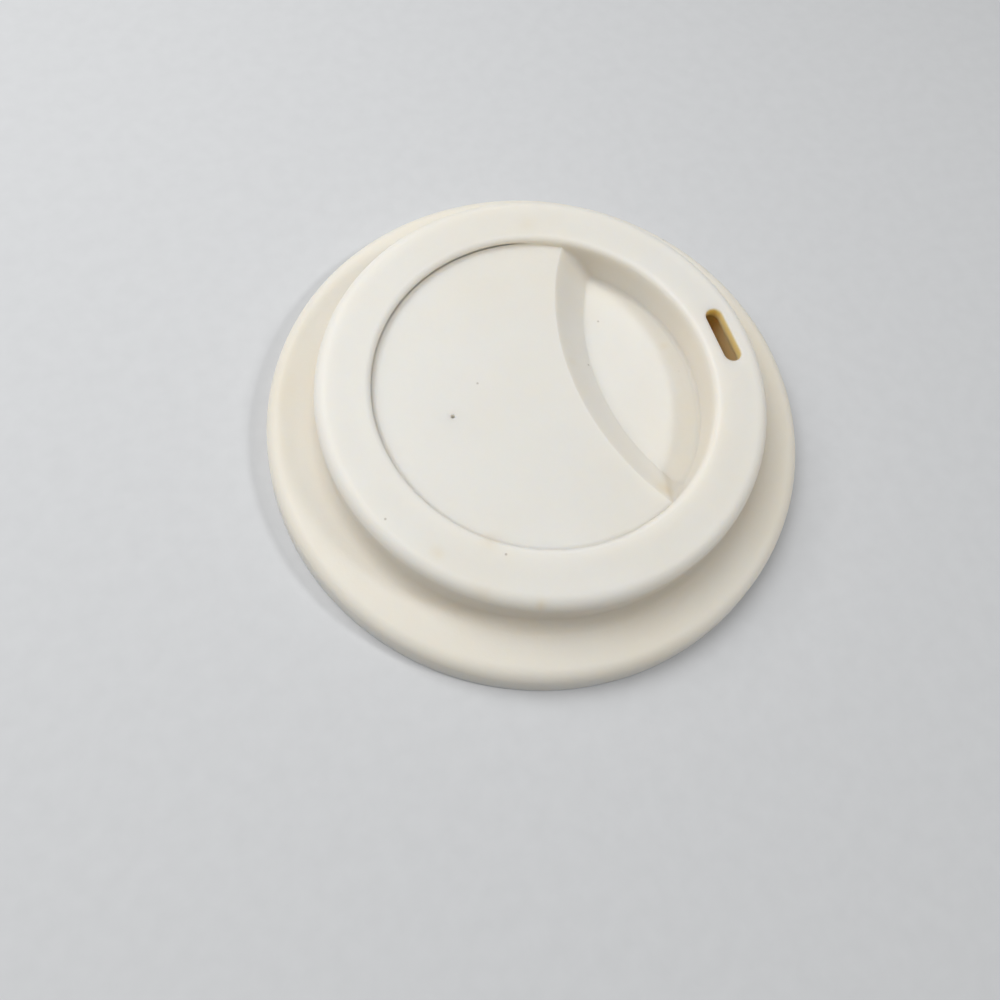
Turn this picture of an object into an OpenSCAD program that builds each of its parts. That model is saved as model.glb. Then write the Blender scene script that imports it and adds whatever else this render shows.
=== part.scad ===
// Drink-through lid for a travel mug, moulded in one piece of silicone.
// Origin: centre of the ring that the lid rests on. +Z is up, +X points to the drinking slot.
// All sizes are in millimetres.

/* [Mug rim that the lid closes] */
// Outside diameter of the rim
rim_d = 90.6; // [84:0.2:96]
// Thickness of the rim
rim_wall = 4.2; // [3.4:0.1:5]
// Gap between the rim's inner face and the plug ring
plug_gap = 0.2; // [0:0.05:0.5]

/* [Skirt] */
// Height of the flange's outer edge above the resting ring, before its rounding
flange_z = 6.5; // [5.8:0.1:9]
// Wall of the skirt
skirt_wall = 2.3; // [1.8:0.1:2.8]
// How much wider the skirt is at its lower edge, on the radius
skirt_flare = 0.5; // [0:0.1:1]
// Rounding of the flange's outer edge
flange_round = 2.6; // [1.6:0.1:3]
// Rise of the flange from its outer edge to the neck
flange_rise = 0.2; // [0:0.1:0.6]
// Rounding of the lower edges
lip_round = 0.6; // [0.3:0.1:0.8]

/* [Platform] */
// Outside diameter of the neck under the platform
neck_d = 76; // [73:0.5:77]
// Height of the platform's top above the resting ring
top_z = 16.6; // [15:0.2:20]
// Rounding of the platform's outer edge
platform_round = 2.4; // [1:0.1:3]
// Rounding between the neck and the flange
neck_round = 2.4; // [1:0.1:2.6]
// Wall of the platform, the neck and the pocket
wall = 2.2; // [1.8:0.1:2.6]

/* [Recess] */
// Diameter of the recess at the platform's top
recess_d = 57.4; // [54:0.2:58]
// Depth of the recess
recess_depth = 1.6; // [1:0.1:2.4]
// Slope of the wall round the recess and the pocket, from vertical
wall_slope = 4; // [2:0.5:10]
// Rounding of the recess's upper edge
edge_round = 1; // [0.4:0.1:1.2]

/* [Pocket] */
// Depth of the pocket below the recess
pocket_depth = 5.6; // [3:0.1:7]
// Distance from the lid's centre to the pocket's inner edge
pocket_near = 4.9; // [3:0.1:10]
// Radius of the pocket's inner edge
pocket_r = 46.3; // [40:0.5:60]
// Slope of the pocket's inner wall, from vertical
pocket_slope = 47; // [30:1:55]
// Rounding of the inner wall's upper edge
pocket_edge = 0.5; // [0.2:0.1:0.8]
// Rounding between the inner wall and the floor
pocket_foot = 0.7; // [0.3:0.1:1.5]
// Rounding between the pocket's outer wall and its floor
floor_round = 0.8; // [0.4:0.1:2.5]

/* [Openings] */
// Distance from the lid's centre to the middle of the drinking slot
slot_x = 32.9; // [32:0.1:33.6]
// Length of the drinking slot, end to end
slot_l = 10.6; // [8:0.1:14]
// Width of the drinking slot
slot_w = 3.1; // [2.4:0.1:3.6]
// Rounding of the slot's upper edge
slot_edge = 0.3; // [0.1:0.05:0.4]
// Diameter of the air vent
vent_d = 0.7; // [0.6:0.1:2]
// Distance from the lid's centre to the air vent
vent_r = 16.4; // [12:0.2:22]
// Direction of the air vent, turned from the slot's
vent_angle = 183.5; // [170:0.5:190]

/* [Plug ring] */
// Wall of the plug ring
plug_wall = 2.7; // [2.2:0.1:3.4]
// Height over which the inside widens from the neck to the plug ring
plug_taper = 2.4; // [1.5:0.1:3]
// How far a sealing rib stands out of the plug ring
rib_out = 0.5; // [0.3:0.05:0.6]
// Number of sealing ribs round the plug ring
rib_count = 2; // [1:1:3]
// Rounding of the inner corners underneath
inner_round = 0.6; // [0.4:0.1:1]

/* [Hidden] */
$fn = 180;
arc_steps = 8;
past = 1; // how far a cutting body reaches past the surface that it cuts

recess_z = top_z - recess_depth;
pocket_z = recess_z - pocket_depth;
neck_r = neck_d / 2;
recess_r = recess_d / 2;
seat_r = rim_d / 2;
skirt_r = seat_r + skirt_wall;
plug_r = seat_r - rim_wall - plug_gap;
plug_inner_r = plug_r - plug_wall;
neck_inner_r = neck_r - wall;
groove_z = flange_z - skirt_wall;
ring_ceiling_z = top_z - wall;
pocket_axis_x = pocket_near + pocket_r;
slope_foot = tan(45 - wall_slope / 2); // how far a rounding of 1 mm reaches from a sloping wall's foot
floor_edge_r = recess_wall_r(pocket_z) - floor_round * slope_foot;
rib_pitch = (groove_z - inner_round - lip_round) / rib_count;

// Radius of the wall round the recess at a height, moved out by a wall's thickness for its back
function recess_wall_r(z, out = 0) = recess_r - (top_z - z) * tan(wall_slope) + out / cos(wall_slope);

// Points of an arc about centre, from angle a to angle b
function arc(centre, r, a, b) =
    [for (i = [0:arc_steps]) let (t = a + (b - a) * i / arc_steps) centre + r * [cos(t), sin(t)]];

// Half section of the outer form, with the bowl as deep all round as the pocket
function outer_section() = let (
        edge_r = recess_r + edge_round * slope_foot,
        flare_angle = atan(skirt_flare / (flange_z - flange_round - lip_round))
    ) concat(
        [[0, 0], [0, pocket_z]],
        arc([floor_edge_r, pocket_z + floor_round], floor_round, -90, -wall_slope),
        arc([edge_r, top_z - edge_round], edge_round, 180 - wall_slope, 90),
        arc([neck_r - platform_round, top_z - platform_round], platform_round, 90, 0),
        arc([neck_r + neck_round, flange_z + flange_rise + neck_round], neck_round, 180, 270),
        arc([skirt_r - flange_round, flange_z - flange_round], flange_round, 90, flare_angle),
        arc([skirt_r + skirt_flare - lip_round, lip_round], lip_round, flare_angle, -90)
    );

// Half section of the hollow below the pocket and of the channel below the platform
function hollow_section() = let (
        back_r = recess_wall_r(ring_ceiling_z, wall) + inner_round * slope_foot
    ) concat(
        [[0, -past], [0, pocket_z - wall]],
        arc([floor_edge_r, pocket_z + floor_round], floor_round + wall, -90, -wall_slope),
        arc([back_r, ring_ceiling_z - inner_round], inner_round, 180 - wall_slope, 90),
        arc([neck_inner_r - inner_round, ring_ceiling_z - inner_round], inner_round, 90, 0),
        [
            [neck_inner_r, groove_z + plug_taper],
            [plug_inner_r, groove_z],
            [plug_inner_r, lip_round]
        ],
        arc([plug_inner_r + lip_round, lip_round], lip_round, 180, 270),
        [[plug_inner_r + lip_round, -past]]
    );

// Half section of the groove that takes the mug's rim
function groove_section() = concat(
        [[plug_r - lip_round, -past]],
        arc([plug_r - lip_round, lip_round], lip_round, -90, 0),
        arc([plug_r + inner_round, groove_z - inner_round], inner_round, 180, 90),
        arc([seat_r - inner_round, groove_z - inner_round], inner_round, 90, 0),
        arc([seat_r + skirt_flare + lip_round, lip_round], lip_round, 180, 270),
        [[seat_r + skirt_flare + lip_round, -past]]
    );

// Half section, about the pocket's axis, of the body that leaves the pocket's inner wall, moved out
// by a wall's thickness for its back
function pocket_section(out, foot, edge) = let (
        low_z = pocket_z - out,
        high_z = recess_z - out,
        reach = tan(45 - pocket_slope / 2),
        high_r = pocket_r + out * reach,
        low_r = high_r - pocket_depth * tan(pocket_slope),
        foot_r = low_r - foot * reach,
        edge_r = high_r + edge * reach
    ) concat(
        [[0, high_z + past], [0, low_z - 2 * past], [foot_r, low_z - 2 * past]],
        arc([foot_r, low_z + foot], foot, -90, -pocket_slope),
        arc([edge_r, high_z - edge], edge, 180 - pocket_slope, 90),
        [[edge_r, high_z + past]]
    );

// Disc that stands in the bowl up to the recess, with the pocket cut out of it
module recess_disc(z_low, z_high, r, section) {
    difference() {
        translate([0, 0, z_low]) cylinder(r = r, h = z_high - z_low);
        translate([pocket_axis_x, 0, 0]) rotate_extrude() polygon(section);
    }
}

// Everything under the top: the room below the recess, the tub of the pocket and the channel
module hollow() {
    rotate_extrude() polygon(hollow_section());
    recess_disc(
        pocket_z - wall - past,
        recess_z - wall,
        recess_wall_r(recess_z - wall, wall) + past / 2,
        pocket_section(wall, pocket_foot + wall, inner_round)
    );
}

// Sealing ribs, spaced evenly up the plug ring's straight wall
module ribs() {
    for (i = [0:rib_count - 1])
        rotate_extrude() translate([plug_r, lip_round + (i + 0.5) * rib_pitch]) circle(rib_out, $fn = 24);
}

// Half section of the drinking slot, with the rounding of its upper edge
function slot_section() = let (half = slot_w / 2) concat(
        [[0, ring_ceiling_z - past], [half, ring_ceiling_z - past]],
        arc([half + slot_edge, top_z - slot_edge], slot_edge, 180, 90),
        [[half + slot_edge, top_z + past], [0, top_z + past]]
    );

// Drinking slot with round ends
module slot() {
    straight = slot_l - slot_w;
    translate([slot_x, 0, 0]) {
        rotate([90, 0, 0]) linear_extrude(height = straight, center = true)
            for (side = [0, 1]) mirror([side, 0]) polygon(slot_section());
        for (side = [-1, 1]) translate([0, side * straight / 2, 0])
            rotate_extrude() polygon(slot_section());
    }
}

// Air vent through the recess
module vent() {
    rotate([0, 0, vent_angle]) translate([vent_r, 0, recess_z - wall - past])
        cylinder(d = vent_d, h = wall + 2 * past, $fn = 48);
}

module lid() {
    color("linen") union() {
        difference() {
            union() {
                rotate_extrude() polygon(outer_section());
                recess_disc(
                    pocket_z - past,
                    recess_z,
                    recess_wall_r(recess_z) + past,
                    pocket_section(0, pocket_foot, pocket_edge)
                );
            }
            hollow();
            rotate_extrude() polygon(groove_section());
            slot();
            vent();
        }
        ribs();
    }
}

lid();
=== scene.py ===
"""Moulds the silicone lid of a travel mug as one closed skin, and sets it on a pale studio floor."""

import math

import bmesh
import bpy
import numpy as np
from bpy.props import FloatProperty, FloatVectorProperty, IntProperty, PointerProperty
from mathutils import Matrix, Vector


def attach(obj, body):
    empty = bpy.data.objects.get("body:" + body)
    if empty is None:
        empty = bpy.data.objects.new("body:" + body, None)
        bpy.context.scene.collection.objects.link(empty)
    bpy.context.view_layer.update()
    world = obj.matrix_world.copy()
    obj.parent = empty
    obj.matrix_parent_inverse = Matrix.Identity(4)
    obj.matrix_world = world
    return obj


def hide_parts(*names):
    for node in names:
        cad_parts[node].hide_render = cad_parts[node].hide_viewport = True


bl_info = {
    "name": "Travel Mug Lid",
    "version": (1, 0, 0),
    "blender": (4, 5, 0),
    "location": "3D View > Sidebar > Mug Lid",
    "description": "Moulds a silicone drink-through lid and sets it on a pale studio floor",
    "category": "Add Mesh",
}

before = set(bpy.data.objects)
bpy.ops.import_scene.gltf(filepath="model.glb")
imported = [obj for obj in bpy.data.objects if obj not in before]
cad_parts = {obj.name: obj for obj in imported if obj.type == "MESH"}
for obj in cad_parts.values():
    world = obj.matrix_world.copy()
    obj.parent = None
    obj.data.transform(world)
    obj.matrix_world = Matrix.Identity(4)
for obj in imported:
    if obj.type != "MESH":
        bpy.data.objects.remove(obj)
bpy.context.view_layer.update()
MM = 0.001
WELD = 0.002 * MM
SMALLEST = 1e-9


def length(name, description, size_mm):
    """A panel entry for a length, written in millimetres and kept in metres."""
    return FloatProperty(
        name=name, description=description, default=size_mm * MM, unit="LENGTH", precision=5
    )


def slope(name, description, degrees):
    """A panel entry for an angle, written in degrees and kept in radians."""
    return FloatProperty(
        name=name, description=description, default=math.radians(degrees), subtype="ANGLE"
    )


def colour(name, description, red, green, blue):
    """A panel entry for a linear colour."""
    return FloatVectorProperty(
        name=name,
        description=description,
        default=(red, green, blue),
        size=3,
        min=0.0,
        max=1.0,
        subtype="COLOR",
    )


class LidSizes(bpy.types.PropertyGroup):
    """The lid's driving sizes."""

    rim_d: length("Rim diameter", "Outside diameter of the mug's rim", 90.6)
    rim_wall: length("Rim wall", "Thickness of the mug's rim", 4.2)
    plug_gap: length("Plug gap", "Gap between the rim's inner face and the plug ring", 0.2)
    flange_z: length("Flange height", "Height of the flange's outer edge before its rounding", 6.5)
    skirt_wall: length("Skirt wall", "Wall of the skirt", 2.3)
    skirt_flare: length("Skirt flare", "How much wider the skirt is at its lower edge", 0.5)
    flange_round: length("Flange rounding", "Rounding of the flange's outer edge", 2.6)
    flange_rise: length("Flange rise", "Rise of the flange from its edge to the neck", 0.2)
    lip_round: length("Lip rounding", "Rounding of the lower edges", 0.6)
    neck_d: length("Neck diameter", "Outside diameter of the neck", 76.0)
    top_z: length("Top height", "Height of the platform's top", 16.6)
    platform_round: length("Platform rounding", "Rounding of the platform's outer edge", 2.4)
    neck_round: length("Neck rounding", "Rounding between the neck and the flange", 2.4)
    wall: length("Wall", "Wall of the platform, the neck and the pocket", 2.2)
    recess_d: length("Recess diameter", "Diameter of the recess at the platform's top", 57.4)
    recess_depth: length("Recess depth", "Depth of the recess", 1.6)
    wall_slope: slope("Wall slope", "Slope of the wall round the recess, from vertical", 4.0)
    edge_round: length("Recess edge rounding", "Rounding of the recess's upper edge", 1.0)
    recess_foot: length("Recess foot rounding", "Rounding between the recess's wall and its floor", 0.65)
    pocket_depth: length("Pocket depth", "Depth of the pocket below the recess", 5.6)
    pocket_near: length("Pocket start", "Distance from the middle to the pocket's inner edge", 4.9)
    pocket_r: length("Pocket edge radius", "Radius of the pocket's inner edge", 46.3)
    pocket_slope: slope("Pocket slope", "Slope of the pocket's inner wall, from vertical", 47.0)
    pocket_edge: length("Pocket edge rounding", "Rounding of the pocket's inner edge", 0.5)
    pocket_foot: length("Pocket foot rounding", "Rounding at the foot of the inner wall", 0.7)
    floor_round: length("Floor rounding", "Rounding between the outer wall and the floor", 0.8)
    tip_round: length("Tip rounding", "Rounding between the pocket's walls at its two tips", 1.6)
    slot_x: length("Slot place", "Distance from the middle to the drinking slot", 32.9)
    slot_l: length("Slot length", "Length of the drinking slot, end to end", 10.6)
    slot_w: length("Slot width", "Width of the drinking slot", 3.1)
    slot_edge: length("Slot edge rounding", "Rounding of the slot's upper edge", 0.3)
    vent_d: length("Vent diameter", "Diameter of the air vent", 0.7)
    vent_r: length("Vent place", "Distance from the middle to the air vent", 16.4)
    vent_angle: slope("Vent direction", "Direction of the air vent, turned from the slot's", 183.5)
    vent_edge: length("Vent edge rounding", "Rounding of the vent's upper edge", 0.1)
    plug_wall: length("Plug wall", "Wall of the plug ring", 2.7)
    plug_taper: length("Plug taper", "Height over which the inside widens to the plug ring", 2.4)
    rib_out: length("Rib height", "How far a sealing rib stands out of the plug ring", 0.5)
    rib_count: IntProperty(name="Ribs", description="Number of sealing ribs", default=2, min=1)
    inner_round: length("Inner rounding", "Rounding of the inner corners underneath", 0.6)
    waviness: length("Waviness", "How far the soft moulding strays from its true form", 0.05)


class LidFinish(bpy.types.PropertyGroup):
    """Colours and gloss of the silicone."""

    cream: colour("Cream", "Colour of the clean silicone", 0.815, 0.78, 0.725)
    # Beige for random patches and smudges, and painted shade on the neck, the flange and the pocket's outer
    # wall
    wear_and_shade: colour("Aged cream", "Beige tone of the aged places", 0.78, 0.69, 0.56)
    # Amber of drink staining in the slot, made light enough to serve as painted glow of light through the
    # slot's thin walls
    stain_and_glow: colour("Stain", "Colour that drink leaves in the slot", 1.0, 0.71, 0.29)
    speck: colour("Speck", "Colour of the small dark specks", 0.20, 0.13, 0.08)
    roughness: FloatProperty(name="Roughness", description="Roughness of the skin", default=0.52)


class StudioSetup(bpy.types.PropertyGroup):
    """Floor, lamps and camera."""

    floor_colour: colour("Floor", "Colour of the pale floor", 0.62, 0.63, 0.65)
    sky_colour: colour("Sky", "Colour of the light from all round", 1.0, 0.995, 0.985)
    sky_strength: FloatProperty(name="Sky strength", description="Light from all round", default=0.16)
    key_power: FloatProperty(
        name="Key power", description="Power of the large soft lamp", default=1.9, unit="POWER"
    )
    side_power: FloatProperty(
        name="Side power", description="Power of the weak lamp on the right", default=1.4, unit="POWER"
    )
    lens: FloatProperty(
        name="Lens", description="Focal length on a 36 mm wide sensor", default=27.0, unit="CAMERA"
    )


class Section:
    """Radii and heights that the lid's surfaces share, worked out from the driving sizes."""

    def __init__(self, sizes):
        self.sizes = sizes
        self.recess_z = sizes.top_z - sizes.recess_depth
        self.pocket_z = self.recess_z - sizes.pocket_depth
        self.neck_r = sizes.neck_d / 2
        self.recess_r = sizes.recess_d / 2
        self.seat_r = sizes.rim_d / 2
        self.skirt_r = self.seat_r + sizes.skirt_wall
        self.foot_r = self.skirt_r + sizes.skirt_flare
        self.plug_r = self.seat_r - sizes.rim_wall - sizes.plug_gap
        self.plug_inner_r = self.plug_r - sizes.plug_wall
        self.neck_inner_r = self.neck_r - sizes.wall
        self.groove_z = sizes.flange_z - sizes.skirt_wall
        self.ceiling_z = sizes.top_z - sizes.wall
        self.pocket_axis = sizes.pocket_near + sizes.pocket_r

    def recess_wall(self, z, out=0.0):
        """Radius of the wall round the recess at height z, or of its back, out further."""
        lean = self.sizes.wall_slope
        return self.recess_r - (self.sizes.top_z - z) * np.tan(lean) + out / np.cos(lean)

    def pocket_wall(self, z, out=0.0):
        """Radius about the pocket's axis of its inner wall at height z, or of its back."""
        lean = self.sizes.pocket_slope
        return self.sizes.pocket_r - (self.recess_z - z) * np.tan(lean) + out / np.cos(lean)


def arc(centre, radius, start, end, steps):
    """Points centre + radius * (cos t, sin t), with t even from start to end in degrees."""
    t = np.radians(np.linspace(start, end, steps + 1))
    return np.asarray(centre) + radius * np.stack([np.cos(t), np.sin(t)], axis=1)


def point(r, z):
    """One corner of a section, as a run of one point."""
    return np.array([[r, z]])


def profile(*parts):
    """Joins runs of points. A whole number between two runs splits the straight line between them."""
    joined = [parts[0]]
    for steps, run in zip(parts[1::2], parts[2::2]):
        t = np.linspace(0.0, 1.0, steps + 1)[1:-1, None]
        joined += [(1 - t) * joined[-1][-1] + t * run[0], run]
    return np.concatenate(joined)


def leaning_wall(z, radius_at, lean, low_z, foot_round, high_z, edge_round):
    """Radius at each height of a wall that leans out by an angle, rounded at its foot and its edge.

    Between the roundings it is radius_at(z). A rounding's centre lies its own radius above low_z, or
    below high_z, and radius * tan(45 - lean / 2) inside, or outside, of the corner it replaces.
    """
    reach = math.tan(math.pi / 4 - lean / 2)
    radius = radius_at(z)
    foot_r = radius_at(low_z) - foot_round * reach
    foot_drop = low_z + foot_round - z
    in_foot = z < low_z + foot_round * (1 - math.sin(lean))
    foot = foot_r + np.sqrt(np.maximum(foot_round**2 - foot_drop**2, 0.0))
    edge_r = radius_at(high_z) + edge_round * reach
    edge_rise = z - high_z + edge_round
    in_edge = z > high_z - edge_round * (1 - math.sin(lean))
    edge = edge_r - np.sqrt(np.maximum(edge_round**2 - edge_rise**2, 0.0))
    return np.where(in_foot, foot, np.where(in_edge, edge, radius))


def heights_of_rounding(radius, lean, steps):
    """Heights above a rounding's flat side, at even angles up to where it meets the leaning wall."""
    return radius * (1 - np.cos(np.linspace(0.0, math.pi / 2 - lean, steps + 1)))


def ring(radius, angle, z):
    """Points (radius cos angle, radius sin angle, z), for arrays that fit together."""
    radius, angle, z = np.broadcast_arrays(radius, angle, z)
    return np.stack([radius * np.cos(angle), radius * np.sin(angle), z], axis=-1)


FOOT_RUN_OUT = math.radians(20)


def foot_radius(angle, tip_angle, full):
    """Rounding at the foot of the recess's wall at each angle: it runs out towards the pocket's tips."""
    from_tip = math.pi - np.abs(np.mod(angle, 2 * math.pi) - math.pi) - tip_angle
    return full * np.clip(from_tip / FOOT_RUN_OUT, 0.0, 1.0)


def foot_strip(section, wall_r, angle, tip_angle, floor_z, full):
    """The rounding between the recess's floor and its wall, as rows from the floor up."""
    lean = section.sizes.wall_slope
    radius = foot_radius(angle, tip_angle, full)
    turn = np.linspace(-math.pi / 2, -lean, 6)[:, None]
    centre_r = wall_r - radius * math.tan(math.pi / 4 - lean / 2)
    return ring(centre_r + radius * np.cos(turn), angle[None], floor_z + radius * (1 + np.sin(turn)))


def rounded_lens(outer_r, inner_r, axis, fillet, share):
    """The lens of two circles at each height, as the outer and the inner half, from tip to tip.

    The outer circle stands about (0, 0), the inner one about (axis, 0). A fillet touches both from
    inside at each tip, so its centre c has |c| = outer_r - fillet and |c - axis| = inner_r - fillet.
    Each half is an arc between its two points of touch, with half of a fillet at either end. The
    shares from -1 to 1 span its length, so its points lie evenly along it.
    """
    centre_x = ((outer_r - fillet)**2 - (inner_r - fillet)**2 + axis**2) / (2 * axis)
    centre_y = np.sqrt((outer_r - fillet)**2 - centre_x**2)
    halves = []
    for circle_x, circle_r, other_x, facing in ((0.0, outer_r, axis, 1), (axis, inner_r, 0.0, -1)):
        touch = np.arctan2(centre_y, facing * (centre_x - circle_x))
        other_touch = np.arctan2(centre_y, facing * (centre_x - other_x))
        arc_run = touch * circle_r
        fillet_run = (other_touch - touch) / 2 * fillet
        at = np.abs(share) * (arc_run + fillet_run)
        on_arc = np.minimum(at, arc_run) / circle_r
        past = np.maximum(at - arc_run, 0.0) / np.maximum(fillet, SMALLEST)
        on_circle = np.stack([circle_x + facing * circle_r * np.cos(on_arc), circle_r * np.sin(on_arc)])
        on_fillet = np.stack([
            centre_x + facing * fillet * np.cos(touch + past),
            centre_y + fillet * np.sin(touch + past),
        ])
        x, y = np.where(at > arc_run, on_fillet, on_circle)
        halves.append(np.stack([x, np.sign(share) * y], axis=-1))
    return halves


def bowl(section, out, edge_round, foot_round, recess_foot, columns):
    """The lens-shaped pocket and the recess round it, or their backs underneath.

    At height z the pocket's outline is a lens of two circles with rounded tips: the recess wall's
    about the lid's axis and the inner wall's about the pocket's axis. The tips are sharp at the
    recess's floor, and their rounding grows by as much as the depth below it, up to its full size.
    Each wall is a grid over height and the share of its length from tip to tip. The pocket's floor
    and the recess's floor are ruled between the lines that bound them.
    """
    sizes = section.sizes
    high_z = section.recess_z - out
    low_z = section.pocket_z - out
    outer_round = sizes.floor_round + out
    z = np.concatenate([
        low_z + heights_of_rounding(outer_round, sizes.wall_slope, 9),
        low_z + heights_of_rounding(foot_round, sizes.pocket_slope, 4),
        high_z - heights_of_rounding(edge_round, sizes.pocket_slope, 4),
        np.linspace(low_z + outer_round, high_z, 9),
    ])
    z = np.unique(np.round(z, 5))[::-1, None]
    outer_r = leaning_wall(
        z, lambda h: section.recess_wall(h, out), sizes.wall_slope, low_z, outer_round, high_z, 0.0
    )
    inner_r = leaning_wall(
        z, lambda h: section.pocket_wall(h, out), sizes.pocket_slope, low_z, foot_round, high_z, edge_round
    )
    axis = section.pocket_axis
    share = np.linspace(-1.0, 1.0, columns + 1)[None]
    fillet = np.clip(high_z - z, 0.0, sizes.tip_round)
    walls = rounded_lens(outer_r, inner_r, axis, fillet, share)
    outer_wall, inner_wall = (
        np.concatenate([wall, np.broadcast_to(z[..., None], (*wall.shape[:2], 1))], axis=-1)
        for wall in walls
    )
    tip_angle = math.atan2(outer_wall[0, -1, 1], outer_wall[0, -1, 0])
    far_angle = -tip_angle - (math.pi - tip_angle) * (share[0] + 1)
    far_foot = foot_strip(section, outer_r[0, 0], far_angle, tip_angle, z[0, 0], recess_foot)
    recess_floor = ruled(inner_wall[0], far_foot[0], 16)
    pocket_floor = ruled(inner_wall[-1], outer_wall[-1], 10)
    return {
        "outer_wall": outer_wall,
        "inner_wall": inner_wall,
        "recess_floor": recess_floor,
        "recess_foot": far_foot,
        "pocket_floor": pocket_floor,
        "tip_angle": tip_angle,
    }


def ruled(first, last, steps):
    """A grid of straight lines between the same points of two curves."""
    t = np.linspace(0.0, 1.0, steps + 1)[:, None, None]
    return (1 - t) * first + t * last


# Grid columns from tip to tip, and the blocks of the grids that the slot and the vent take the place of
COLUMNS = 144
SLOT_ROWS = 8
SLOT_COLUMNS = 13
VENT_ROWS = (9, 12)
VENT_COLUMNS = 6


def section_outline(section):
    """Half section from the recess's wall over the platform, the neck, the flange and the skirt, under
    the rim groove and the plug ring, up the channel and down the back of the recess's wall. It gives
    the outline, and the first row of the platform's top and of the channel's ceiling."""
    sizes = section.sizes
    lean = math.degrees(sizes.wall_slope)
    reach = math.tan(math.pi / 4 - sizes.wall_slope / 2)
    lip, inner = sizes.lip_round, sizes.inner_round
    flare = math.degrees(math.atan(
        sizes.skirt_flare / (sizes.flange_z - sizes.flange_round - lip)
    ))
    top = profile(
        point(section.recess_wall(section.recess_z), section.recess_z),
        2,
        arc([section.recess_r + sizes.edge_round * reach, sizes.top_z - sizes.edge_round],
            sizes.edge_round, 180 - lean, 90, 7),
    )
    rib_pitch = (section.groove_z - inner - lip) / sizes.rib_count
    ribs = []
    for i in reversed(range(sizes.rib_count)):
        ribs += [4, arc([section.plug_r, lip + (i + 0.5) * rib_pitch], sizes.rib_out, 90, -90, 10)]
    outside = profile(
        top,
        SLOT_ROWS + 2,
        arc([section.neck_r - sizes.platform_round, sizes.top_z - sizes.platform_round],
            sizes.platform_round, 90, 0, 12),
        4,
        arc([section.neck_r + sizes.neck_round, sizes.flange_z + sizes.flange_rise + sizes.neck_round],
            sizes.neck_round, 180, 270, 10),
        6,
        arc([section.skirt_r - sizes.flange_round, sizes.flange_z - sizes.flange_round],
            sizes.flange_round, 90, flare, 12),
        4,
        arc([section.foot_r - lip, lip], lip, flare, -90, 8),
        1,
        arc([section.seat_r + sizes.skirt_flare + lip, lip], lip, 270, 180, 6),
        3,
        arc([section.seat_r - inner, section.groove_z - inner], inner, 0, 90, 5),
        4,
        arc([section.plug_r + inner, section.groove_z - inner], inner, 90, 180, 5),
        *ribs,
        2,
        arc([section.plug_r - lip, lip], lip, 0, -90, 6),
        1,
        arc([section.plug_inner_r + lip, lip], lip, 270, 180, 6),
        3,
        point(section.plug_inner_r, section.groove_z),
        3,
        point(section.neck_inner_r, section.groove_z + sizes.plug_taper),
        4,
        arc([section.neck_inner_r - inner, section.ceiling_z - inner], inner, 0, 90, 5),
    )
    back_z = section.recess_z - sizes.wall
    back_r = section.recess_wall(section.ceiling_z, sizes.wall) + inner * reach
    outline = profile(
        outside,
        SLOT_ROWS,
        arc([back_r, section.ceiling_z - inner], inner, 90, 180 - lean, 5),
        2,
        point(section.recess_wall(back_z, sizes.wall), back_z),
    )
    return outline, len(top) - 1, len(outside) - 1


def cut_block(grid, rows, columns):
    """The block of a grid between two rows and two columns, which a hole's patch takes the place of."""
    return grid[rows[0]:rows[1] + 1, columns[0]:columns[1] + 1]


def block_edge(block):
    """The points round a block, in order, with the first again at the end."""
    return np.concatenate([block[0], block[1:, -1], block[-1, -2::-1], block[-2::-1, 0]])


def spokes(edge, centre, straight):
    """For each point of an edge, the nearest point of the hole's middle line and the way from there."""
    core = np.stack([
        np.full(len(edge), centre[0]),
        centre[1] + np.clip(edge[:, 1] - centre[1], -straight / 2, straight / 2),
    ], axis=1)
    way = edge[:, :2] - core
    return core, way / np.linalg.norm(way, axis=1, keepdims=True)


def hole(upper, lower, centre, straight, radius, edge_round, steps):
    """A hole with round ends through two faces, as a grid from the upper block's edge to the lower's.

    Each point of the edges goes to the hole's outline at its nearest place: core + radius * way, where
    core is the nearest point of the hole's middle line. The upper rim is rounded, the lower is not.
    """
    upper_core, upper_way = spokes(upper, centre, straight)
    lower_core, lower_way = spokes(lower, centre, straight)
    top_z, low_z = upper[0, 2], lower[0, 2]
    turn = np.linspace(0.0, math.pi / 2, 6)
    rim_r = radius + edge_round * (1 - np.sin(turn))
    rim_z = top_z - edge_round * (1 - np.cos(turn))
    rim = [on_spokes(upper_core, upper_way, r, z) for r, z in zip(rim_r, rim_z)]
    mix = np.linspace(0.0, 1.0, 7)[1:]
    down = [
        on_spokes(
            (1 - m) * upper_core + m * lower_core,
            (1 - m) * upper_way + m * lower_way,
            radius,
            (1 - m) * rim_z[-1] + m * low_z,
        )
        for m in mix
    ]
    inward = ruled(upper, rim[0], steps)[:-1]
    outward = ruled(down[-1], lower, steps)[1:]
    return np.concatenate([inward, rim, down, outward])


def on_spokes(core, way, radius, z):
    """Points core + radius * way at height z, with way brought to length 1."""
    flat = core + radius * way / np.linalg.norm(way, axis=1, keepdims=True)
    return np.column_stack([flat, np.full(len(flat), z)])


WAVE = 11 * MM
STRAY_FADE = 3 * MM


def stray(points, waviness):
    """Lets a soft moulding stray: points move along slow waves, which are sums of two or three sines.

    The waves fade out towards the table, and no point leaves the box of the true form."""
    x, y, z = points.T / WAVE
    swell = (
        np.sin(0.9 * x + 0.7 * y + 1.1)
        + np.sin(-0.6 * x + 1.1 * y + 2.3)
        + np.sin(1.3 * x - 0.4 * y + z)
    )
    sway = np.sin(0.5 * x - 0.9 * y + 0.4) + np.sin(1.0 * y + 0.3 * z + 1.9)
    shift = np.stack([0.35 * sway, -0.35 * sway, 0.5 * swell], axis=1) * waviness
    lift = np.clip(points[:, 2] / STRAY_FADE, 0.0, 1.0)[:, None]
    return np.clip(points + shift * lift, points.min(axis=0), points.max(axis=0))


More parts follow.
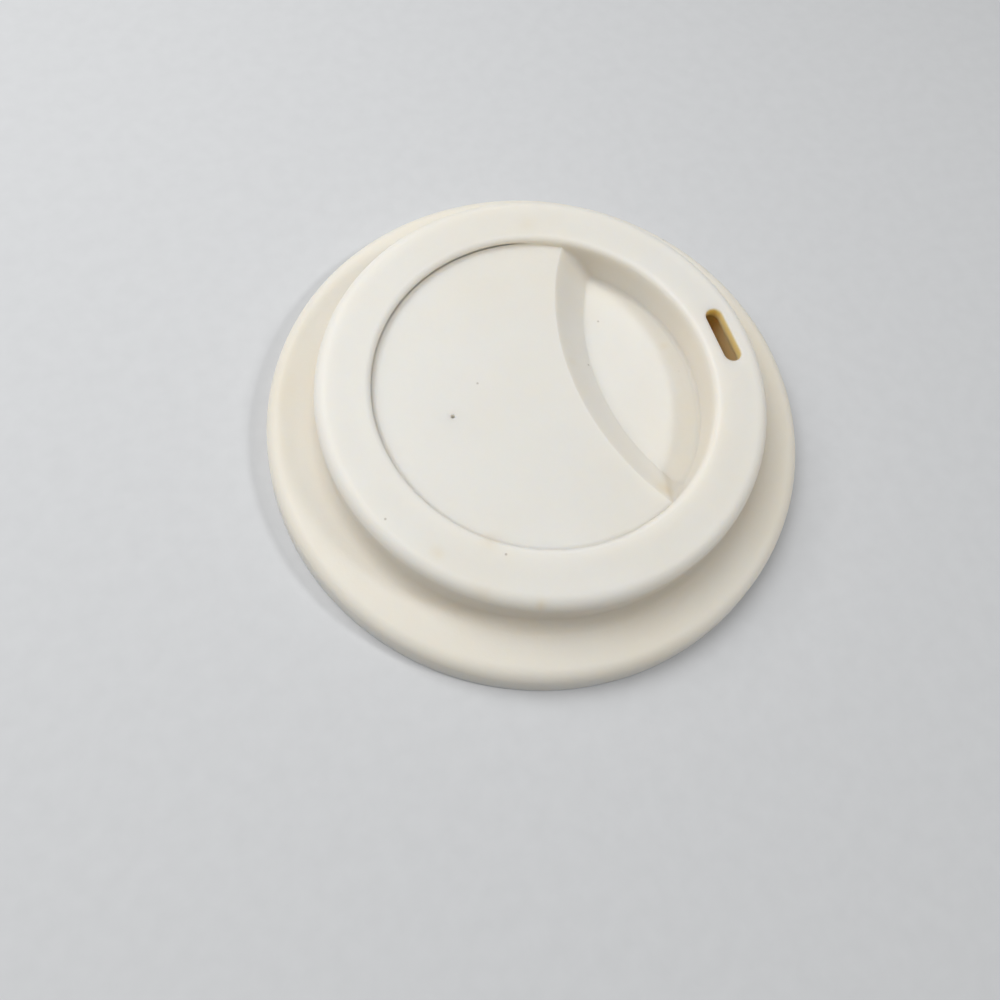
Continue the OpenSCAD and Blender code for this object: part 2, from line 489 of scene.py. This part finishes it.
class Skin:
    """Collects grids of points and joins them into one mesh."""

    def __init__(self):
        self.points = []
        self.faces = []
        self.count = 0

    def add(self, grid, holes=()):
        """Adds a grid's points and its squares, but none of the squares inside the holes' blocks."""
        rows, columns = grid.shape[:2]
        kept = np.ones((rows - 1, columns - 1), bool)
        for hole_rows, hole_columns in holes:
            kept[slice(*hole_rows), slice(*hole_columns)] = False
        index = self.count + np.arange(rows * columns).reshape(rows, columns)
        squares = np.stack([index[:-1, :-1], index[1:, :-1], index[1:, 1:], index[:-1, 1:]], axis=-1)
        self.faces.append(squares[kept])
        self.points.append(grid.reshape(-1, 3))
        self.count += rows * columns

    def build(self, name, waviness):
        """Makes the object: doubles are merged and all faces turned outwards."""
        mesh = bpy.data.meshes.new(name)
        points = stray(np.concatenate(self.points), waviness)
        mesh.from_pydata(points.tolist(), [], np.concatenate(self.faces).tolist())
        work = bmesh.new()
        work.from_mesh(mesh)
        bmesh.ops.remove_doubles(work, verts=work.verts, dist=WELD)
        bmesh.ops.dissolve_degenerate(work, edges=work.edges, dist=WELD)
        bmesh.ops.recalc_face_normals(work, faces=work.faces)
        open_edges = sum(not edge.is_manifold for edge in work.edges)
        if open_edges:
            raise RuntimeError(f"{name} has {open_edges} open edges")
        work.to_mesh(mesh)
        work.free()
        made = bpy.data.objects.new(name, mesh)
        bpy.context.scene.collection.objects.link(made)
        return made


def mould_skin(sizes):
    """The whole skin of the lid: the bowl, its back, the revolved outline between them and the holes."""
    section = Section(sizes)
    top = bowl(section, 0.0, sizes.pocket_edge, sizes.pocket_foot, sizes.recess_foot, COLUMNS)
    back = bowl(section, sizes.wall, sizes.inner_round, sizes.pocket_foot + sizes.wall, 0.0, COLUMNS)
    outline, platform_row, ceiling_row = section_outline(section)

    share = np.linspace(0.0, 1.0, COLUMNS + 1)
    row_share = np.linspace(0.0, 1.0, len(outline))[:, None]
    tip = (1 - row_share) * top["tip_angle"] + row_share * back["tip_angle"]
    near_side = tip * (2 * share - 1)
    far_side = tip + 2 * (math.pi - tip) * share[1:]
    angle = np.concatenate([near_side, far_side], axis=1)
    body = ring(outline[:, :1], angle, outline[:, 1:])
    climb = foot_radius(angle[0], top["tip_angle"], sizes.recess_foot) * (1 - math.sin(sizes.wall_slope))
    climb[:COLUMNS + 1] = 0.0
    body[0] = ring(section.recess_wall(section.recess_z + climb), angle[0], section.recess_z + climb)

    middle = COLUMNS // 2
    slot_columns = (middle - SLOT_COLUMNS, middle + SLOT_COLUMNS)
    platform_rows = (platform_row + 1, platform_row + 1 + SLOT_ROWS)
    ceiling_rows = (ceiling_row, ceiling_row + SLOT_ROWS)
    slot = hole(
        block_edge(cut_block(body, platform_rows, slot_columns)),
        block_edge(cut_block(body, ceiling_rows, slot_columns)[::-1]),
        (sizes.slot_x, 0.0),
        sizes.slot_l - sizes.slot_w,
        sizes.slot_w / 2,
        sizes.slot_edge,
        3,
    )
    vent_columns = (middle - VENT_COLUMNS, middle + VENT_COLUMNS)
    vent_x = sizes.vent_r * math.cos(sizes.vent_angle)
    vent_y = sizes.vent_r * math.sin(sizes.vent_angle)
    vent = hole(
        block_edge(cut_block(top["recess_floor"], VENT_ROWS, vent_columns)),
        block_edge(cut_block(back["recess_floor"], VENT_ROWS, vent_columns)),
        (vent_x, vent_y),
        0.0,
        sizes.vent_d / 2,
        sizes.vent_edge,
        4,
    )

    skin = Skin()
    skin.add(body, [(platform_rows, slot_columns), (ceiling_rows, slot_columns)])
    skin.add(slot)
    skin.add(vent)
    for side in (top, back):
        skin.add(side["recess_floor"], [(VENT_ROWS, vent_columns)])
        skin.add(side["recess_foot"])
        skin.add(side["inner_wall"])
        skin.add(side["outer_wall"])
        skin.add(side["pocket_floor"])
    return skin


# Faint beige smudges: the place across the lid and the size, in millimetres, and the share of the tone
SMUDGES = (
    (13.2, -22.6, 1.7, 0.9),
    (25.8, 4.3, 1.0, 0.6),
    (-17.5, -23.4, 1.3, 0.5),
    (-25.7, -22.7, 1.0, 0.5),
    (-13.3, -35.1, 0.8, 0.8),
    (-21.4, -31.0, 1.4, 0.4),
    (6.7, 3.8, 0.8, 0.35),
    (7.5, 31.0, 1.6, 0.3),
)
SMUDGE_DEPTH = 8 * MM
# Where the slot's amber of staining and painted glow lies: its edge round the slot, its fade with depth,
# and its reach and share in the channel underneath
STAIN_AND_GLOW_EDGE = 0.25 * MM
STAIN_AND_GLOW_FADE = 0.7 * MM
STAIN_AND_GLOW_REACH = 14 * MM
CHANNEL_STAIN_AND_GLOW = 0.75
# Shares of painted shade: beige on the flange, more in the neck's crease, and on the pocket's outer wall
FLANGE_SHADE = 0.30
NECK_SHADE = 0.35
POCKET_WALL_SHADE = 0.28
# Depth below the top, and distance from the pocket's wall, where the painted shade changes, and over what
# length
BELOW_TOP = (0.5 * MM, 3 * MM)
FROM_WALL = (1.92 * MM, 2.4 * MM)
# Depth below the recess where the pocket's painted shade is full, and the height over which it fades
UNDER_RECESS = 1.0 * MM
RECESS_FADE = 1.5 * MM
SLACK = 0.1 * MM


def fade(value, start, length):
    """1 up to the start and 0 past the start and the length, with a straight fall between."""
    return np.clip(1 - (value - start) / length, 0, 1)


def stain_and_glow_share(x, y, z, sizes):
    """How much of the amber each point takes: fully in the slot, and less away from it in the channel
    underneath. The amber is partly drink staining and partly painted glow of light through the slot's thin
    walls.
    """
    section = Section(sizes)
    r = np.hypot(x, y)
    straight = (sizes.slot_l - sizes.slot_w) / 2
    from_slot = np.hypot(x - sizes.slot_x, y - np.clip(y, -straight, straight)) - sizes.slot_w / 2
    depth = sizes.top_z - z
    # The slot's walls, and the channel seen through it, take the amber: drink staining, made light as
    # painted glow
    in_slot = fade(from_slot, 0, STAIN_AND_GLOW_EDGE) * np.clip(depth / STAIN_AND_GLOW_FADE, 0, 1)
    past_back = r > section.recess_wall(z, 0.9 * sizes.wall)
    in_channel = past_back & (r < section.neck_inner_r + SLACK) & (depth > 0.9 * sizes.wall)
    return np.maximum(in_slot, in_channel * fade(from_slot, 0, STAIN_AND_GLOW_REACH) * CHANNEL_STAIN_AND_GLOW)


def wear_and_shade_share(x, y, z, sizes):
    """How much beige each point takes: painted shade makes the flange, the neck's crease and the pocket's
    outer wall with the floor along it more beige than the top, and each smudge falls off as exp(-(distance
    / size)^2)."""
    section = Section(sizes)
    r = np.hypot(x, y)
    depth = sizes.top_z - z
    # Painted shade: beige below the top, strongest in the neck's crease
    outside = r > section.neck_r - 0.6 * sizes.platform_round
    on_neck = fade(r, section.neck_r, 1.5 * sizes.neck_round)
    shade_beside = outside * (1 - fade(depth, *BELOW_TOP)) * (FLANGE_SHADE + NECK_SHADE * on_neck)
    # Painted shade on the pocket's outer wall and the floor along it
    to_wall = section.recess_wall(z) - r
    in_pocket = (x > 0) * fade(z, section.recess_z - UNDER_RECESS, RECESS_FADE) * (to_wall > -SLACK)
    shade_on_wall = in_pocket * fade(to_wall, *FROM_WALL) * POCKET_WALL_SHADE
    smudges = [
        share * np.exp(-((x - at_x * MM)**2 + (y - at_y * MM)**2) / (size * MM)**2) * (depth < SMUDGE_DEPTH)
        for at_x, at_y, size, share in SMUDGES
    ]
    return np.maximum.reduce([shade_beside, shade_on_wall, *smudges])


def store_marks_and_painted_light(mesh, sizes):
    """Stores each point's share of the slot's amber, staining with painted glow, and of the beige, smudges
    with painted shade, for the material.
    """
    points = np.empty(len(mesh.vertices) * 3, np.float32)
    mesh.vertices.foreach_get("co", points)
    x, y, z = points.reshape(-1, 3).T
    marks_and_light = {"stain_and_glow": stain_and_glow_share(x, y, z, sizes), "wear_and_shade": wear_and_shade_share(x, y, z, sizes)}
    for name, values in marks_and_light.items():
        layer = mesh.attributes.new(name, "FLOAT", "POINT")
        layer.data.foreach_set("value", values.astype(np.float32))


class NodeKit:
    """Short ways to add and link a material's nodes."""

    def __init__(self, tree):
        self.tree = tree
        tree.nodes.clear()

    def add(self, kind, inputs=None, **settings):
        """Adds a node, sets its settings, and sets or links its inputs by name or number."""
        node = self.tree.nodes.new(kind)
        for key, value in settings.items():
            setattr(node, key, value)
        for key, value in (inputs or {}).items():
            if isinstance(value, bpy.types.NodeSocket):
                self.tree.links.new(value, node.inputs[key])
            else:
                node.inputs[key].default_value = value
        return node

    def noise(self, coordinates, scale, detail, roughness=0.5):
        """Smooth noise from 0 to 1 at a number of waves per metre."""
        return self.add(
            "ShaderNodeTexNoise",
            {"Vector": coordinates, "Scale": scale, "Detail": detail, "Roughness": roughness},
        ).outputs["Fac"]

    def remap(self, value, low, high, to_low, to_high):
        """Carries a range to another one, and stops at its ends."""
        return self.add(
            "ShaderNodeMapRange",
            {"Value": value, "From Min": low, "From Max": high, "To Min": to_low, "To Max": to_high},
        ).outputs["Result"]

    def mix(self, share, first, second):
        """Mixes two colours."""
        return self.add(
            "ShaderNodeMix", {0: share, 6: first, 7: second}, data_type="RGBA"
        ).outputs[2]

    def math(self, operation, first, second):
        """One sum on two numbers."""
        return self.add("ShaderNodeMath", {0: first, 1: second}, operation=operation).outputs[0]


def opaque(colour_value):
    """A colour with full alpha."""
    return (*colour_value, 1.0)


# Waves or cells per metre of the skin's patterns
PATCH_WAVES = 38.0
GLOSS_WAVES = 160.0
DIMPLE_WAVES = 420.0
GRAIN_WAVES = 2600.0
SPECK_CELLS = 190.0

PATCH_SHARE = 0.22
# Strength of the slot's amber, which is drink staining and painted glow
STAIN_AND_GLOW_STRENGTH = 0.96
SPECK_SHARE = 0.04
SPECK_CORE, SPECK_RIM = 0.02, 0.05
SPECK_STRENGTH = 0.42
GLOSS_SPREAD = 0.06
GRAIN_STRENGTH = 0.35
RELIEF_DEPTH = 0.08 * MM
SCATTER = 4.5 * MM
# Scattering depth in the slot's amber of staining and painted glow
STAIN_AND_GLOW_SCATTER = 3 * MM


def skin_tone(kit, place, stain_and_glow, finish):
    """Cream with soft random patches, smudges and painted shade in the beige tone, and the amber of
    staining and painted glow over it.
    """
    patches = kit.remap(kit.noise(place, PATCH_WAVES, 3.0), 0.42, 0.68, 0.0, PATCH_SHARE)
    # Smudges, and painted shade on the neck, the flange and the pocket's outer wall
    worn_and_shaded = kit.add("ShaderNodeAttribute", attribute_name="wear_and_shade").outputs["Fac"]
    tone = kit.mix(kit.math("ADD", patches, worn_and_shaded), opaque(finish.cream), opaque(finish.wear_and_shade))
    # Amber over the slot and the channel: drink staining, made light as painted glow of light through the
    # slot's walls
    return kit.mix(kit.math("MULTIPLY", stain_and_glow, STAIN_AND_GLOW_STRENGTH), tone, opaque(finish.stain_and_glow))


def with_specks(kit, place, tone, finish):
    """Puts a small soft dot in the middle of a few of the cells, seen from above."""
    cells = kit.add(
        "ShaderNodeTexVoronoi",
        {"Vector": place, "Scale": SPECK_CELLS, "Randomness": 1.0},
        voronoi_dimensions="2D",
    )
    lot = kit.add("ShaderNodeSeparateColor", {0: cells.outputs["Color"]}).outputs[0]
    chosen = kit.remap(lot, 1 - SPECK_SHARE, 1.005 - SPECK_SHARE, 0.0, 1.0)
    dot = kit.remap(cells.outputs["Distance"], SPECK_CORE, SPECK_RIM, SPECK_STRENGTH, 0.0)
    return kit.mix(kit.math("MULTIPLY", chosen, dot), tone, opaque(finish.speck))


def skin_relief(kit, place):
    """Shallow dimples with a finer grain on them, as a bump."""
    grain = kit.noise(place, GRAIN_WAVES, 2.0)
    dimples = kit.noise(place, DIMPLE_WAVES, 2.0)
    height = kit.math("ADD", kit.math("MULTIPLY", grain, GRAIN_STRENGTH), dimples)
    bump = kit.add("ShaderNodeBump", {"Height": height, "Strength": 0.35, "Distance": RELIEF_DEPTH})
    return bump.outputs["Normal"]


def silicone_material(finish):
    """Cream silicone: light scatters in it, less deep in the slot's amber of staining and painted glow, and
    its gloss varies.
    """
    material = bpy.data.materials.new("cream_silicone")
    material.use_nodes = True
    kit = NodeKit(material.node_tree)
    place = kit.add("ShaderNodeTexCoord").outputs["Object"]
    # Share of the slot's amber: drink staining and painted glow
    stain_and_glow = kit.add("ShaderNodeAttribute", attribute_name="stain_and_glow").outputs["Fac"]
    tone = with_specks(kit, place, skin_tone(kit, place, stain_and_glow, finish), finish)
    scatter = kit.remap(stain_and_glow, 0.0, 0.6, SCATTER, STAIN_AND_GLOW_SCATTER)
    least, most = finish.roughness - GLOSS_SPREAD, finish.roughness + GLOSS_SPREAD
    gloss = kit.remap(kit.noise(place, GLOSS_WAVES, 4.0), 0.3, 0.7, least, most)
    shader = kit.add(
        "ShaderNodeBsdfPrincipled",
        {
            "Base Color": tone,
            "Roughness": gloss,
            "Normal": skin_relief(kit, place),
            "Subsurface Weight": 1.0,
            "Subsurface Radius": (1.0, 0.88, 0.7),
            "Subsurface Scale": scatter,
            "Specular IOR Level": 0.42,
            "IOR": 1.43,
        },
    )
    kit.add("ShaderNodeOutputMaterial", {"Surface": shader.outputs[0]})
    return material


def floor_material(setup):
    """A plain matte floor with a faint fine grain."""
    material = bpy.data.materials.new("pale_floor")
    material.use_nodes = True
    kit = NodeKit(material.node_tree)
    place = kit.add("ShaderNodeTexCoord").outputs["Object"]
    shade = kit.remap(kit.noise(place, 300.0, 3.0), 0.3, 0.7, 0.985, 1.015)
    base = Vector(setup.floor_colour)
    tone = kit.add(
        "ShaderNodeVectorMath", {0: base, "Scale": shade}, operation="SCALE"
    ).outputs[0]
    shader = kit.add("ShaderNodeBsdfDiffuse", {"Color": tone})
    kit.add("ShaderNodeOutputMaterial", {"Surface": shader.outputs[0]})
    return material


def area_lamp(name, place, target, size, power, tint):
    """A square lamp that faces a point."""
    lamp = bpy.data.lights.new(name, "AREA")
    lamp.size = size
    lamp.energy = power
    lamp.color = tint
    holder = bpy.data.objects.new(name, lamp)
    holder.location = place
    holder.rotation_euler = (Vector(target) - Vector(place)).to_track_quat("-Z", "Y").to_euler()
    bpy.context.scene.collection.objects.link(holder)


class TRAVELLID_OT_mould(bpy.types.Operator):
    """Mould the silicone lid in one piece"""

    bl_idname = "travellid.mould"
    bl_label = "Mould Lid"
    bl_options = {"REGISTER", "UNDO"}

    sharp_angle = math.radians(32)

    def execute(self, context):
        sizes = context.scene.lid_sizes
        lid = mould_skin(sizes).build("moulded_lid", sizes.waviness)
        # Amber of staining with painted glow in the slot, and beige of smudges with painted shade on the
        # neck, flange and pocket wall
        store_marks_and_painted_light(lid.data, sizes)
        lid.data.materials.append(silicone_material(context.scene.lid_finish))
        lid.data.polygons.foreach_set("use_smooth", np.ones(len(lid.data.polygons), bool))
        lid.data.set_sharp_from_angle(angle=self.sharp_angle)
        weighting = lid.modifiers.new("even_shading", "WEIGHTED_NORMAL")
        weighting.keep_sharp = True
        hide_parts("lid")
        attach(lid, "root")
        return {"FINISHED"}


class TRAVELLID_OT_stage(bpy.types.Operator):
    """Lay the pale floor, hang the lamps and set up the camera"""

    bl_idname = "travellid.stage"
    bl_label = "Set Stage"
    bl_options = {"REGISTER", "UNDO"}

    camera_place = (-0.034634, -0.052726, 0.125124)
    camera_right = (0.94418959, -0.32057814, 0.07573425)
    camera_up = (0.27708566, 0.89728187, 0.34366958)
    sensor_width = 36.0
    floor_half = 2.0
    lit_point = (0.0, 0.0, 0.01)
    lamp_tint = (1.0, 1.0, 0.985)
    key_place = (-0.18, 0.155, 0.405)
    key_size = 0.36
    side_place = (0.40, -0.22, 0.56)
    side_size = 0.10
    backdrop_colour = (0.86, 0.87, 0.89)

    def execute(self, context):
        scene = context.scene
        setup = scene.lid_studio
        self.lay_floor(scene, setup)
        self.light(scene, setup)
        self.aim_camera(scene, setup)
        scene.view_settings.view_transform = "Standard"
        return {"FINISHED"}

    def lay_floor(self, scene, setup):
        """A wide flat floor at the height that the lid rests on."""
        half = self.floor_half
        mesh = bpy.data.meshes.new("floor")
        corners = [(-half, -half, 0.0), (half, -half, 0.0), (half, half, 0.0), (-half, half, 0.0)]
        mesh.from_pydata(corners, [], [(0, 1, 2, 3)])
        floor = bpy.data.objects.new("floor", mesh)
        floor.data.materials.append(floor_material(setup))
        scene.collection.objects.link(floor)

    def light(self, scene, setup):
        """A large soft lamp high up on the left, a weak one on the right, and an even sky."""
        for name, place, size, power in (
            ("key_lamp", self.key_place, self.key_size, setup.key_power),
            ("side_lamp", self.side_place, self.side_size, setup.side_power),
        ):
            area_lamp(name, place, self.lit_point, size, power, self.lamp_tint)
        world = bpy.data.worlds.new("studio_sky")
        world.use_nodes = True
        kit = NodeKit(world.node_tree)
        seen = kit.add("ShaderNodeLightPath").outputs["Is Camera Ray"]
        sky = kit.add(
            "ShaderNodeBackground", {"Color": opaque(setup.sky_colour), "Strength": setup.sky_strength}
        )
        backdrop = kit.add("ShaderNodeBackground", {"Color": opaque(self.backdrop_colour), "Strength": 1.0})
        both = kit.add("ShaderNodeMixShader", {0: seen, 1: sky.outputs[0], 2: backdrop.outputs[0]})
        kit.add("ShaderNodeOutputWorld", {"Surface": both.outputs[0]})
        scene.world = world

    def aim_camera(self, scene, setup):
        """The camera that sees the lid as it was photographed."""
        right, up = Vector(self.camera_right), Vector(self.camera_up)
        turn = Matrix([right, up, right.cross(up)]).transposed().to_4x4()
        camera = bpy.data.cameras.new("camera")
        camera.sensor_width = self.sensor_width
        camera.lens = setup.lens
        camera.clip_start = 0.01
        holder = bpy.data.objects.new("camera", camera)
        holder.matrix_world = Matrix.Translation(self.camera_place) @ turn
        scene.collection.objects.link(holder)
        scene.camera = holder


class TRAVELLID_PT_panel(bpy.types.Panel):
    """Sizes, finish and stage of the lid"""

    bl_idname = "TRAVELLID_PT_panel"
    bl_label = "Travel Mug Lid"
    bl_space_type = "VIEW_3D"
    bl_region_type = "UI"
    bl_category = "Mug Lid"

    def draw(self, context):
        layout = self.layout
        scene = context.scene
        for group in (scene.lid_sizes, scene.lid_finish, scene.lid_studio):
            box = layout.box()
            for name in group.__annotations__:
                box.prop(group, name)
        layout.operator(TRAVELLID_OT_mould.bl_idname)
        layout.operator(TRAVELLID_OT_stage.bl_idname)


CLASSES = (
    LidSizes,
    LidFinish,
    StudioSetup,
    TRAVELLID_OT_mould,
    TRAVELLID_OT_stage,
    TRAVELLID_PT_panel,
)


def register():
    """Registers the classes and hangs the settings on the scene."""
    for cls in CLASSES:
        bpy.utils.register_class(cls)
    bpy.types.Scene.lid_sizes = PointerProperty(type=LidSizes)
    bpy.types.Scene.lid_finish = PointerProperty(type=LidFinish)
    bpy.types.Scene.lid_studio = PointerProperty(type=StudioSetup)


def unregister():
    """Takes the settings and the classes away again."""
    del bpy.types.Scene.lid_studio
    del bpy.types.Scene.lid_finish
    del bpy.types.Scene.lid_sizes
    for cls in reversed(CLASSES):
        bpy.utils.unregister_class(cls)


def main():
    """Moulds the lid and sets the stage."""
    register()
    bpy.ops.travellid.mould()
    bpy.ops.travellid.stage()


if __name__ == "__main__":
    main()
